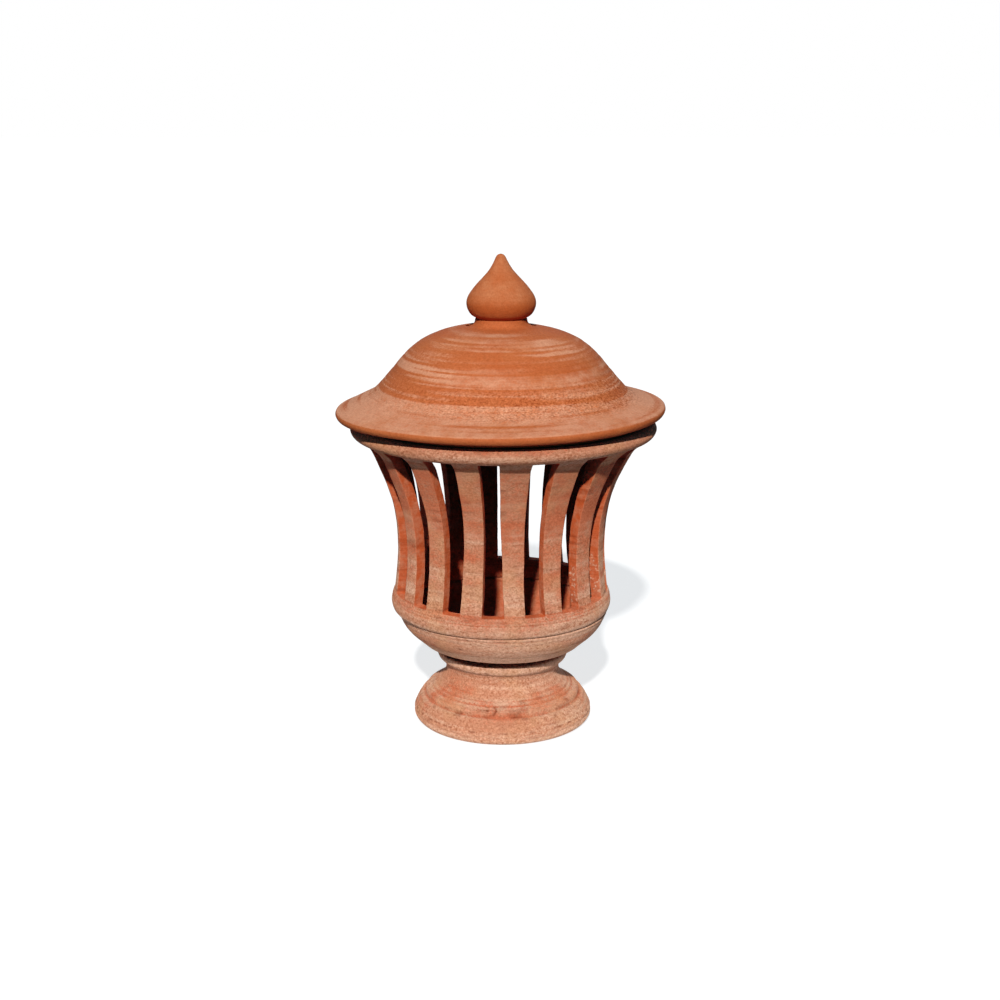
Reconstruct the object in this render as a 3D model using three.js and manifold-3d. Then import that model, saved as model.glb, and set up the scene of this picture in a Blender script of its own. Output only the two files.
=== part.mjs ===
// A hand-thrown terracotta garden lantern: a hollow flared foot, a round bowl, a wall of upright bars
// under a rolled rim, a loose domed lid with an onion finial, and a tealight candle on the bowl's floor.
// Millimetres, +Z up. The origin is the centre of the foot's base ring, and the front is towards -Y.
import * as THREE from 'three';
import { mergeVertices } from 'three/addons/utils/BufferGeometryUtils.js';
import Module from 'manifold-3d';

const wasm = await Module();
wasm.setup();

// Driving dimensions. Each height is above the ground, each radius is from the lantern's axis.
const CLAY = 11; // thickness of the thrown wall
const SEAM = 0.3; // gap kept between two pieces that touch

// Flats around a turned piece, by its size.
const FACETS = { pot: 40, finial: 28, candle: 32, holder: 16, vent: 14, wick: 10 };

const FOOT = { baseRadius: 86.5, flare: 92.7, neck: 60, neckHeight: 53, collar: 70.5, top: 79.5, ring: 12 };
const BOWL = { edgeRadius: 82.5, edgeHeight: 84.5, floor: 88, floorRim: 95, drain: 6, seamHeight: 119 };
const WALL = { seamRadius: 110, band: 113.6, bandHeight: 128, sill: 140, waist: 106.5, waistHeight: 190 };
const RIM = { radius: 155.5, middle: 309.5, shoulder: 147.5, top: 317, lip: 136.5, slotTop: 301 };
const LID = {
  radius: 165, edgeHeight: 328.6, underEdge: 322.8, seatOuter: 147, crown: 415.5, crownRadius: 26.5, hole: 5,
};
const FLANGE = { outer: 134, inner: 125, bottom: 308 };
const VENT = { radius: 4, offset: 33, behind: 4, length: 40 };
const FINIAL = { radius: 34.6, middle: 433, tip: 482, neck: 25.5, neckTop: 419 };
const CANDLE = {
  radius: 19, height: 12, skin: 0.5, waxHeight: 8.5, wickRadius: 0.8, wickTop: 16.5, holder: 6.5,
};

// The bars were cut by eye: the left and right side of each one, in degrees to the right of the front.
const BARS = [
  [0.3, 12], [22.6, 33], [43.8, 55.2], [66.8, 77.2], [86, 96], [104.8, 115], [123, 133.5], [142.1, 152.8],
  [163.3, 173.6], [183.4, 193.9], [204.2, 214.7], [225.4, 234.3], [248.6, 259], [273.2, 284], [298.3, 307.7],
  [318.2, 329.2], [339.5, 350.8],
];

const COLOURS = {
  body: 0xcd9173, lid: 0xc1714a, finial: 0xc8794f, metal: 0xc9cbcf, wax: 0xf1ebdc, wick: 0xe4dcc8,
};

const group = new THREE.Group();

function addPiece(name, geometry, colour, roughness, metalness = 0) {
  const material = new THREE.MeshStandardMaterial({ color: colour, roughness, metalness });
  const mesh = new THREE.Mesh(geometry, material);
  mesh.name = name;
  group.add(mesh);
}

// A smooth stretch of an outline through [radius, height] pairs, as `count` straight steps.
function curve(pairs, count) {
  const points = pairs.map(([radius, height]) => new THREE.Vector2(radius, height));
  return new THREE.SplineCurve(points).getPoints(count);
}

function line(...pairs) {
  return pairs.map(([radius, height]) => new THREE.Vector2(radius, height));
}

// Turns an outline, given counter-clockwise with radius to the right and height up, about +Z.
function turn(stretches, facets, closed = true) {
  const outline = stretches.flat();
  if (closed) outline.push(outline[0].clone());
  const geometry = new THREE.LatheGeometry(outline, facets);
  geometry.rotateX(Math.PI / 2);
  return geometry;
}

function toSolid(geometry) {
  const bare = geometry.clone();
  bare.deleteAttribute('normal');
  bare.deleteAttribute('uv');
  const merged = mergeVertices(bare, 1e-4);
  const mesh = new wasm.Mesh({
    numProp: 3,
    vertProperties: new Float32Array(merged.attributes.position.array),
    triVerts: new Uint32Array(merged.index.array),
  });
  return new wasm.Manifold(mesh);
}

function toGeometry(solid) {
  const mesh = solid.getMesh();
  const geometry = new THREE.BufferGeometry();
  geometry.setAttribute('position', new THREE.BufferAttribute(new Float32Array(mesh.vertProperties), 3));
  geometry.setIndex(new THREE.BufferAttribute(new Uint32Array(mesh.triVerts), 1));
  geometry.computeVertexNormals();
  return geometry;
}

function cutAway(geometry, cutters) {
  const solid = cutters.reduce((left, cutter) => left.subtract(toSolid(cutter)), toSolid(geometry));
  return toGeometry(solid);
}

// Foot: a hollow flared pedestal that ends in a rounded collar, flat on top for the bowl.
function makeFoot() {
  const collarWall = FOOT.neck - CLAY;
  const inside = curve([
    [collarWall + 10, FOOT.top], [collarWall, FOOT.neckHeight + 4], [collarWall + 9, 34],
    [FOOT.baseRadius - 14, 12], [FOOT.baseRadius - FOOT.ring, 0],
  ], 7);
  const flare = curve([
    [FOOT.baseRadius, 0], [FOOT.flare, 7], [FOOT.flare - 4, 20], [77.5, 32], [63.8, 44],
    [FOOT.neck, FOOT.neckHeight], [64, 63.5],
  ], 12);
  const collar = curve([[FOOT.collar - 1.5, 67.5], [FOOT.collar, 72], [73.5, FOOT.top]], 3);
  return turn([inside, flare, collar], FACETS.pot);
}

// Bowl: the lower half of the body, with a sharp bottom edge, a flat floor and a drain hole.
function makeBowl() {
  const underside = FOOT.top + SEAM;
  const rimHeight = BOWL.seamHeight - SEAM / 2;
  const bottom = line([BOWL.drain, underside], [74, underside], [BOWL.edgeRadius, BOWL.edgeHeight]);
  const outside = curve([[86, 88], [95.7, 96], [102.5, 104], [WALL.seamRadius, rimHeight]], 6);
  const inside = curve([
    [WALL.seamRadius - CLAY, rimHeight], [92.5, 105], [80, BOWL.floorRim], [60, BOWL.floor + 1.5],
    [45, BOWL.floor],
  ], 7);
  return turn([bottom, outside, inside, line([BOWL.drain, BOWL.floor])], FACETS.pot);
}

// One slot: a wedge with its point on the axis, from angle `from` to angle `to`.
function makeSlot(from, to) {
  const reach = RIM.radius + 20;
  const corner = (degrees) => {
    const angle = THREE.MathUtils.degToRad(degrees);
    return new THREE.Vector2(reach * Math.sin(angle), -reach * Math.cos(angle));
  };
  const wedge = new THREE.Shape([new THREE.Vector2(0, 0), corner(from), corner(to)]);
  const depth = RIM.slotTop - WALL.sill;
  const geometry = new THREE.ExtrudeGeometry(wedge, { depth, bevelEnabled: false });
  geometry.translate(0, 0, WALL.sill);
  return geometry;
}

// Slotted wall: the upper ring of the body, its upright bars and the rolled rim, thrown as one section.
function makeSlottedWall() {
  const foot = BOWL.seamHeight + SEAM / 2;
  const waistInside = WALL.waist - CLAY;
  const band = curve([[WALL.seamRadius + 0.4, foot], [WALL.band, WALL.bandHeight], [110.8, 142]], 4);
  const bars = curve([
    [WALL.waist + 1.6, 160], [WALL.waist, WALL.waistHeight], [108, 216], [115.4, 248], [126, 274], [139, 296],
  ], 9);
  const roll = curve([
    [150, 302.5], [RIM.radius - 1, 306], [RIM.radius, RIM.middle], [RIM.radius - 2, 313.4],
    [RIM.shoulder, RIM.top],
  ], 5);
  const lip = line([RIM.lip + 3, RIM.top], [RIM.lip, RIM.top - 2], [RIM.lip, FLANGE.bottom - 1.5]);
  const inside = curve([
    [130, 299.5], [121.4, 289], [105, 251], [97, 217], [waistInside, WALL.waistHeight], [99.2, 142],
    [WALL.seamRadius - CLAY, foot],
  ], 9);
  const ring = turn([band, bars, roll, lip, inside], FACETS.pot);
  const slots = BARS.map(([, right], index) => {
    const [nextLeft] = BARS[index + 1] ?? [BARS[0][0] + 360];
    return makeSlot(right, nextLeft);
  });
  return cutAway(ring, slots);
}

// Lid: a dome with a wide brim. It stands on the rim, and a flange below keeps it centred.
function makeLid() {
  const seat = RIM.top + SEAM;
  const under = line(
    [FLANGE.inner, FLANGE.bottom], [FLANGE.outer, FLANGE.bottom], [FLANGE.outer, seat], [LID.seatOuter, seat],
    [LID.seatOuter + 3, LID.underEdge - 2], [LID.radius - 3.5, LID.underEdge],
  );
  const edge = line([LID.radius, LID.edgeHeight], [160.8, 332]);
  const brim = curve([[150.1, 336], [140.1, 340], [131.9, 344], [123.1, 352]], 4);
  const dome = curve([[115.9, 360], [102.6, 376], [86.5, 392], [63.4, 404], [40, 409.8], [30, 413]], 8);
  const crown = line([LID.crownRadius, LID.crown], [LID.hole, LID.crown]);
  const inside = curve([
    [LID.hole, 403], [40, 399.5], [75, 387], [100, 364], [119, 337], [FLANGE.inner, 320],
  ], 7);
  const shell = turn([under, edge, brim, dome, crown, inside], FACETS.pot);
  const vents = [-1, 1].map((side) => {
    const drill = new THREE.CylinderGeometry(VENT.radius, VENT.radius, VENT.length, FACETS.vent);
    drill.rotateX(Math.PI / 2);
    drill.translate(side * VENT.offset, VENT.behind, LID.crown);
    return drill;
  });
  return cutAway(shell, vents);
}

// Finial: a hollow onion with a drawn-out tip, open below where it sits on the lid's crown.
function makeFinial() {
  const base = LID.crown + SEAM;
  const hollow = curve([[0, FINIAL.tip - 24], [10, FINIAL.tip - 28], [24, FINIAL.middle + 2], [16, base]], 6);
  const neck = line([FINIAL.neck, base]);
  const onion = curve([
    [FINIAL.neck, FINIAL.neckTop], [29.4, 422.2], [33.5, 428], [FINIAL.radius, FINIAL.middle], [32.8, 440],
    [24.5, 452], [13.4, 464], [5.8, 476], [0, FINIAL.tip],
  ], 14);
  return turn([hollow, neck, onion], FACETS.finial, false);
}

// Tealight: a thin metal cup, its wax, and a wick that stands in a small metal holder.
function addTealight() {
  const floor = BOWL.floor + SEAM;
  const top = floor + CANDLE.height;
  const inner = CANDLE.radius - CANDLE.skin;
  const bed = floor + CANDLE.skin;
  const cup = turn([line(
    [0, floor], [CANDLE.radius - 1, floor], [CANDLE.radius, floor + 1], [CANDLE.radius, top - 0.8],
    [CANDLE.radius + 0.8, top], [inner, top], [inner, bed], [0, bed],
  )], FACETS.candle, false);
  addPiece('tealight_cup', cup, COLOURS.metal, 0.35, 0.9);

  const holderBase = bed + SEAM;
  const holderTop = holderBase + 0.5;
  const tube = CANDLE.wickRadius + 0.3;
  const holder = turn([line(
    [tube, holderBase], [CANDLE.holder, holderBase], [CANDLE.holder, holderTop], [tube + 0.5, holderTop],
    [tube + 0.5, holderTop + 4], [tube, holderTop + 4],
  )], FACETS.holder);
  addPiece('wick_holder', holder, COLOURS.metal, 0.4, 0.9);

  const waxBase = holderTop + SEAM;
  const recess = tube + 0.5 + SEAM;
  const wax = turn([line(
    [recess, waxBase], [inner - SEAM, waxBase], [inner - SEAM, floor + CANDLE.waxHeight],
    [recess, floor + CANDLE.waxHeight - 0.6],
  )], FACETS.candle);
  addPiece('candle_wax', wax, COLOURS.wax, 0.5);

  const length = floor + CANDLE.wickTop - holderBase;
  const wick = new THREE.CylinderGeometry(CANDLE.wickRadius, CANDLE.wickRadius, length, FACETS.wick);
  wick.rotateX(Math.PI / 2);
  wick.translate(0, 0, holderBase + length / 2);
  addPiece('wick', wick, COLOURS.wick, 0.9);
}

addPiece('foot', makeFoot(), COLOURS.body, 0.95);
addPiece('bowl', makeBowl(), COLOURS.body, 0.95);
addPiece('slotted_wall', makeSlottedWall(), COLOURS.body, 0.95);
addPiece('lid', makeLid(), COLOURS.lid, 0.9);
addPiece('finial', makeFinial(), COLOURS.finial, 0.85);
addTealight();

export default group;
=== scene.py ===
"""A hand-thrown terracotta garden lantern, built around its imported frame.

Every clay piece is turned from an outline in millimetres, then worked on as a potter's hands would:
throwing rings, grooves, a little wobble, worn cut edges and pits. Heights are above the ground, and radii
are from the axis.
"""
import math
from collections import namedtuple
from functools import partial, reduce

import bpy
import numpy as np
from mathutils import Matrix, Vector


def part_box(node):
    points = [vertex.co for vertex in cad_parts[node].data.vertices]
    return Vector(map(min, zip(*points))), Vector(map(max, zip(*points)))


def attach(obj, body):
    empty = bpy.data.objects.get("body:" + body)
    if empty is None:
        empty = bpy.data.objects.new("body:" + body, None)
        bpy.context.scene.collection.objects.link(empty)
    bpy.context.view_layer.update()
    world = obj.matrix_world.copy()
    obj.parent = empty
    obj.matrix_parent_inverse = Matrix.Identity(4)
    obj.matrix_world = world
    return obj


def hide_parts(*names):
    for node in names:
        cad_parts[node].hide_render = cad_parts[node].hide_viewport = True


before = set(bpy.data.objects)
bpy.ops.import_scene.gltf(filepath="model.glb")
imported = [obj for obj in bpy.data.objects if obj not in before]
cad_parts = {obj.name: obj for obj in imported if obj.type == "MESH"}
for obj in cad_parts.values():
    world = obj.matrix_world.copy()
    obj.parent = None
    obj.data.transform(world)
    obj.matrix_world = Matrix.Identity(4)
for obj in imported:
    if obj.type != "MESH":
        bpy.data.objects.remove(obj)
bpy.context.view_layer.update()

MM = 0.001


def reach(node):
    """A CAD node's outer radius, bottom and top, in millimetres."""
    low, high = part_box(node)
    return high.x / MM, low.z / MM, high.z / MM


FOOT_RADIUS, _, FOOT_TOP = reach("foot")
_, BOWL_BOTTOM, BOWL_TOP = reach("bowl")
RIM_RADIUS, WALL_BOTTOM, RIM_TOP = reach("slotted_wall")
LID_RADIUS, FLANGE_BOTTOM, CROWN_TOP = reach("lid")
FINIAL_RADIUS, FINIAL_BOTTOM, FINIAL_TIP = reach("finial")
FINIAL_NECK_TOP = FINIAL_BOTTOM + 3.2
SEAM_GAP = 0.3

# The slots run between these heights, and bars and slots take turns around the wall.
SILL = 140.0
SLOT_TOP = 301.0

# Each bar was cut by eye. Its left and its right edge, each at the sill and at the top, in degrees to the
# right of the front.
Bar = namedtuple("Bar", "left_low left_high right_low right_high")
BARS = [
    Bar(1.7, -0.7, 12.2, 11.6), Bar(22.9, 22.0, 32.7, 33.6), Bar(44.2, 44.0, 54.6, 55.8),
    Bar(67.2, 66.0, 77.4, 76.6), Bar(86.0, 86.0, 96.4, 95.6), Bar(104.9, 104.3, 114.9, 115.0),
    Bar(122.8, 123.2, 133.3, 133.7), Bar(142.1, 142.1, 152.6, 153.0), Bar(163.6, 163.0, 173.6, 173.4),
    Bar(182.1, 182.2, 193.7, 194.1), Bar(204.2, 204.2, 214.9, 214.5), Bar(225.7, 225.1, 234.1, 234.5),
    Bar(249.6, 243.0, 258.8, 259.2), Bar(273.2, 273.4, 283.9, 284.3), Bar(297.9, 299.0, 307.8, 307.9),
    Bar(317.7, 319.7, 328.5, 329.1), Bar(338.6, 341.2, 350.1, 351.2),
]


# ---- repeatable noise

def corner_value(x, y, z, seed):
    """A repeatable value from -1 to 1 for each whole-number corner."""
    n = (x * 73856093) ^ (y * 19349663) ^ (z * 83492791) ^ (seed * 2654435761)
    n = (n ^ (n >> 13)) & 0xFFFFFFFF
    n = (n * 1274126177) & 0xFFFFFFFF
    n = (n ^ (n >> 16)) & 0xFFFFFF
    return n / float(0x7FFFFF) - 1.0


def noise(points, size, seed):
    """Smooth noise from -1 to 1 at each point. `size` is how far its features reach, in all or per axis."""
    scaled = points / np.asarray(size, float)
    cell = np.floor(scaled).astype(np.int64)
    part = scaled - cell
    blend = part * part * (3 - 2 * part)
    total = np.zeros(len(points))
    for corner in range(8):
        step = np.array([corner & 1, (corner >> 1) & 1, corner >> 2])
        weight = np.prod(np.where(step, blend, 1 - blend), axis=1)
        x, y, z = (cell + step).T
        total += weight * corner_value(x, y, z, seed)
    return total


def ease(value, low, high):
    """0 below `low`, 1 above `high`, smooth between."""
    t = np.clip((value - low) / (high - low), 0, 1)
    return t * t * (3 - 2 * t)


def zone(value, rise_start, rise_end, fall_start, fall_end):
    """1 from `rise_end` to `fall_start`, and smooth down to 0 at `rise_start` and at `fall_end`."""
    return ease(value, rise_start, rise_end) * (1 - ease(value, fall_start, fall_end))


# ---- outlines

# Which way a stretch of an outline looks: out, in, or at a neighbour that hides it.
OUTSIDE, INSIDE, HIDDEN = 0, 1, 2
Stretch = namedtuple("Stretch", "points step side")
Skin = namedtuple("Skin", "angle radius height length side")


def smooth_line(points, step, even_count=None):
    """Points about `step` apart along a smooth curve through [radius, height] pairs."""
    keys = np.array(points, float)
    if len(keys) == 2:
        fine = keys[0] + (keys[1] - keys[0]) * np.linspace(0, 1, 50)[:, None]
    else:
        fine = catmull_rom(keys)
    lengths = np.r_[0, np.cumsum(np.hypot(*np.diff(fine, axis=0).T))]
    count = even_count or max(1, int(round(lengths[-1] / step)))
    wanted = np.linspace(0, lengths[-1], count + 1)
    return np.c_[np.interp(wanted, lengths, fine[:, 0]), np.interp(wanted, lengths, fine[:, 1])]


def between(first, second, start, end, t):
    """The straight line from `first` at `start` to `second` at `end`."""
    return ((end - t) * first + (t - start) * second) / (end - start)


def catmull_rom(keys, steps=24):
    """A centripetal Catmull-Rom curve through the keys, which doesn't overshoot on uneven spacing."""
    ends = np.vstack([2 * keys[0] - keys[1], keys, 2 * keys[-1] - keys[-2]])
    parts = []
    for p0, p1, p2, p3 in zip(ends, ends[1:], ends[2:], ends[3:]):
        t1 = np.sqrt(np.linalg.norm(p1 - p0))
        t2 = t1 + np.sqrt(np.linalg.norm(p2 - p1))
        t3 = t2 + np.sqrt(np.linalg.norm(p3 - p2))
        t = np.linspace(t1, t2, steps, endpoint=False)[:, None]
        a1, a2, a3 = between(p0, p1, 0, t1, t), between(p1, p2, t1, t2, t), between(p2, p3, t2, t3, t)
        b1, b2 = between(a1, a2, 0, t2, t), between(a2, a3, t1, t3, t)
        parts.append(between(b1, b2, t1, t2, t))
    return np.vstack(parts + [keys[-1:]])


def joined(stretches, closed, soften=2):
    """One outline from several stretches: its points, the side each faces, and its length so far."""
    points, sides = [], []
    for stretch in stretches:
        line = smooth_line(stretch.points, stretch.step)[:-1]
        points.append(line)
        sides += [stretch.side] * len(line)
    if not closed:
        points.append(np.array(stretches[-1].points[-1:], float))
        sides.append(stretches[-1].side)
    points = np.vstack(points)
    for _ in range(soften):
        before = np.roll(points, 1, axis=0)
        after = np.roll(points, -1, axis=0)
        rounded = points * 0.5 + (before + after) * 0.25
        if not closed:
            rounded[0], rounded[-1] = points[0], points[-1]
        points = rounded
    steps = np.hypot(*(np.diff(points, axis=0).T))
    return points, np.array(sides), np.r_[0, np.cumsum(steps)]


def trace(start, *legs):
    """Stretches end to end from `start`. Each leg is its further points, their step and its side."""
    stretches = []
    for points, step, side in legs:
        stretches.append(Stretch([start, *points], step, side))
        start = points[-1]
    return stretches


def facing(points, closed):
    """The outward direction of an outline that runs counter-clockwise, as [radius, height] pairs."""
    if closed:
        along = np.roll(points, -1, axis=0) - np.roll(points, 1, axis=0)
    else:
        along = np.gradient(points, axis=0)
    along /= np.maximum(np.linalg.norm(along, axis=1, keepdims=True), 1e-9)
    return np.c_[along[:, 1], -along[:, 0]]


# ---- meshes

def in_space(angle, radius, height):
    """[x, y, z] of each point on a turned shape."""
    return np.c_[radius * np.cos(angle), radius * np.sin(angle), height]


def make_object(name, points_mm, faces, attributes):
    """A smooth-shaded mesh from points in millimetres. Each attribute holds one number for each point."""
    mesh = bpy.data.meshes.new(name)
    mesh.from_pydata((points_mm * MM).tolist(), [], faces)
    for key, values in attributes.items():
        layer = mesh.attributes.new(key, "FLOAT", "POINT")
        layer.data.foreach_set("value", np.asarray(values, np.float32))
    mesh.shade_smooth()
    mesh.validate()
    piece = bpy.data.objects.new(name, mesh)
    bpy.context.scene.collection.objects.link(piece)
    return piece


def turned(name, stretches, columns, relief=None, paint=None, closed=True, warp=None):
    """Turns an outline about +Z. relief(skin) is mm along the normal, and paint(skin) gives attributes."""
    outline, sides, lengths = joined(stretches, closed)
    normals = facing(outline, closed)
    angles = np.linspace(0, 2 * math.pi, columns, endpoint=False)
    rows = len(outline)
    radius, height = np.tile(outline, (columns, 1)).T
    skin = Skin(np.repeat(angles, rows), radius, height, np.tile(lengths, columns), np.tile(sides, columns))
    push = relief(skin) if relief else 0
    across, up = np.tile(normals, (columns, 1)).T
    radius = np.maximum(radius + push * across, 0)
    height = height + push * up
    if not closed:
        row = np.arange(len(radius)) % rows
        radius = np.where((row == 0) | (row == rows - 1), 0, radius)
    points = in_space(skin.angle, radius, height)
    if warp:
        points = warp(points, skin)
    steps = rows if closed else rows - 1
    column = np.arange(columns)[:, None] * rows
    after = np.roll(np.arange(columns), -1)[:, None] * rows
    row = np.arange(steps)[None, :]
    above = (row + 1) % rows
    quads = np.stack([column + row, after + row, after + above, column + above], axis=-1).reshape(-1, 4)
    attributes = {"length": skin.length, "inside": skin.side == INSIDE, "cut": np.zeros(len(points))}
    attributes.update(paint(skin) if paint else {})
    if closed:
        return make_object(name, points, quads.tolist(), attributes)
    return make_object(name, *close_poles(points, quads, rows, columns, attributes))


def close_poles(points, quads, rows, columns, attributes):
    """Merges each outline end that lies on the axis into one point, for a piece with no hole."""
    index = np.arange(len(points))
    index[np.arange(columns) * rows] = 0
    index[np.arange(columns) * rows + rows - 1] = rows - 1
    kept = np.unique(index)
    new_index = np.searchsorted(kept, index)
    faces = []
    for quad in new_index[quads].tolist():
        corners = list(dict.fromkeys(quad))
        if len(corners) > 2:
            faces.append(corners)
    return points[kept], faces, {key: np.asarray(values)[kept] for key, values in attributes.items()}


# ---- the potter's marks

Mark = namedtuple("Mark", "around height size depth")
Ring = namedtuple("Ring", "height depth width")
Layer = namedtuple("Layer", "share wide tall seed")


def bands(angle, height, wide, tall, seed):
    """Noise around a pot, with features `wide` mm around it and `tall` mm high, and no seam at the back."""
    return noise(in_space(angle, 100, height), [wide, wide, tall], seed)


def layered(skin, layers):
    """Several bands of noise added together."""
    return sum(layer.share * bands(skin.angle, skin.height, *layer[1:]) for layer in layers)


def around_only(skin, wide, seed):
    """Noise that changes around a pot, but not up it."""
    return bands(skin.angle, skin.height * 0, wide, 50, seed)


def from_front(angle):
    """An angle from +X as degrees to the right of the front, from -180 to 180."""
    return (np.degrees(angle) + 270) % 360 - 180


def wobble(angle, height, seed, amount):
    """A slow drift of the radius that every thrown pot has."""
    drift = np.sin(2 * angle + seed + height / 90) + 0.6 * np.sin(3 * angle + 2 * seed - height / 60)
    return amount * drift


def throwing_rings(angle, length, seed, amount, pitch=8.0):
    """Uneven rings left by the fingers, which climb a little with each turn."""
    climb = length + pitch * angle / (2 * math.pi)
    broad = bands(angle, climb, 260, pitch, seed)
    fine = bands(angle, climb, 150, 0.42 * pitch, seed + 1)
    hair = bands(angle, climb, 90, 0.2 * pitch, seed + 2)
    return amount * (broad + 0.55 * fine + 0.25 * hair)


def ring_line(skin, height, width):
    """1 on a slightly wandering line around the pot at one height, falling to 0 over `width`."""
    wander = 0.45 * bands(skin.angle, skin.height * 0 + height, 45, 50, 61)
    return np.exp(-((skin.height - height - wander) / width) ** 2)


def mark_shape(skin, mark):
    """1 at a small round mark, falling to 0 over its size."""
    turn = (from_front(skin.angle) - mark.around + 180) % 360 - 180
    across = np.radians(turn) * skin.radius
    return np.exp(-(across ** 2 + 1.5 * (skin.height - mark.height) ** 2) / mark.size ** 2)


def pits(skin, seed, size, depth, share):
    """Small scattered dents where grit was dragged out or a lump of lime has popped."""
    grit = noise(in_space(skin.angle, skin.radius, skin.height), size, seed)
    return -depth * ease(grit, 1 - share, 1 - share * 0.45)


# ---- clay pieces

BODY_SEED = 3
FINE, MEDIUM, COARSE = 0.9, 1.3, 3.0

# How far each section was stuck on to the right of the axis, and where the sections meet.
FOOT_SHIFT, BOWL_SHIFT, RIM_SHIFT = 1.5, 1.6, 2.2
NECK_RADIUS = 60.8
BOWL_RADIUS = 108.8

# A ridge is a Ring too: its depth is how far it stands out.
FOOT_GROOVES = [
    Ring(8.4, 0.9, 1.1), Ring(17.2, 0.4, 0.9), Ring(22.0, 0.35, 0.9), Ring(27.2, 2.0, 1.3),
    Ring(35.2, 0.5, 0.9), Ring(38.4, 0.4, 0.8), Ring(43.0, 0.25, 1.0),
]
FOOT_RIDGES = [Ring(30.8, 1.4, 1.6), Ring(24.4, 0.5, 1.3), Ring(11.0, 0.3, 1.4), Ring(5.0, 0.35, 2.0)]
FOOT_MARKS = [
    Mark(-6.3, 34.6, 1.3, 0.8), Mark(-5.1, 33.2, 1.3, 1.0), Mark(-4.8, 31.6, 1.3, 1.0),
    Mark(-5.4, 30.2, 1.3, 1.0), Mark(-6.6, 29.0, 1.2, 0.7), Mark(-11.2, 31.3, 1.6, 0.9),
    Mark(38.7, 23.6, 1.6, 0.9), Mark(-14.6, 66.5, 1.8, 0.7),
]
FOOT_WARM = [
    Mark(-49, 45, 15, 0.55), Mark(-66, 28, 12, 0.45), Mark(31, 39.5, 10, 0.7), Mark(54, 41, 10, 0.6),
    Mark(60, 26, 10, 0.4), Mark(150, 35, 16, 0.6), Mark(-140, 24, 14, 0.6),
]
BOWL_GROOVES = [
    Ring(92.6, 0.2, 0.8), Ring(100.8, 0.22, 0.8), Ring(109.5, 0.25, 0.8), Ring(114.6, 0.4, 0.9),
]
BOWL_MARKS = [Mark(-24.8, 102.3, 1.7, 1.1), Mark(-19.0, 115.2, 1.6, 0.9), Mark(64, 106, 1.5, 0.8)]
WALL_GROOVES = [
    Ring(124.4, 0.2, 0.7), Ring(133.2, 0.45, 0.8), Ring(136.4, 0.25, 0.6), Ring(142.0, 0.5, 1.0),
]
BODY_PALE = [Layer(0.3, 75, 24, 101), Layer(0.46, 190, 7, 102), Layer(0.38, 70, 2.6, 103)]
BODY_WARM = [Layer(0.34, 60, 20, 104), Layer(0.36, 150, 5, 105), Layer(0.26, 26, 9, 109)]


def body_relief(skin, grooves, ridges=(), marks=(), rings=0.14):
    """Relief shared by the three stacked sections of the body, so that they line up at their seams."""
    outside = skin.side == OUTSIDE
    free = skin.side != HIDDEN
    push = wobble(skin.angle, skin.height, BODY_SEED, 0.28) * np.where(skin.side == INSIDE, -1, 1)
    push = push + throwing_rings(skin.angle, skin.length, BODY_SEED, rings) * np.where(outside, 1, 2.0)
    push = push * free
    for ring in grooves:
        push = push - ring.depth * ring_line(skin, ring.height, ring.width) * outside
    for ring in ridges:
        push = push + ring.depth * ring_line(skin, ring.height, ring.width) * outside
    for mark in marks:
        push = push - mark.depth * mark_shape(skin, mark) * outside
    return push + pits(skin, BODY_SEED + 7, 5.5, 0.6, 0.2) * outside


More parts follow.
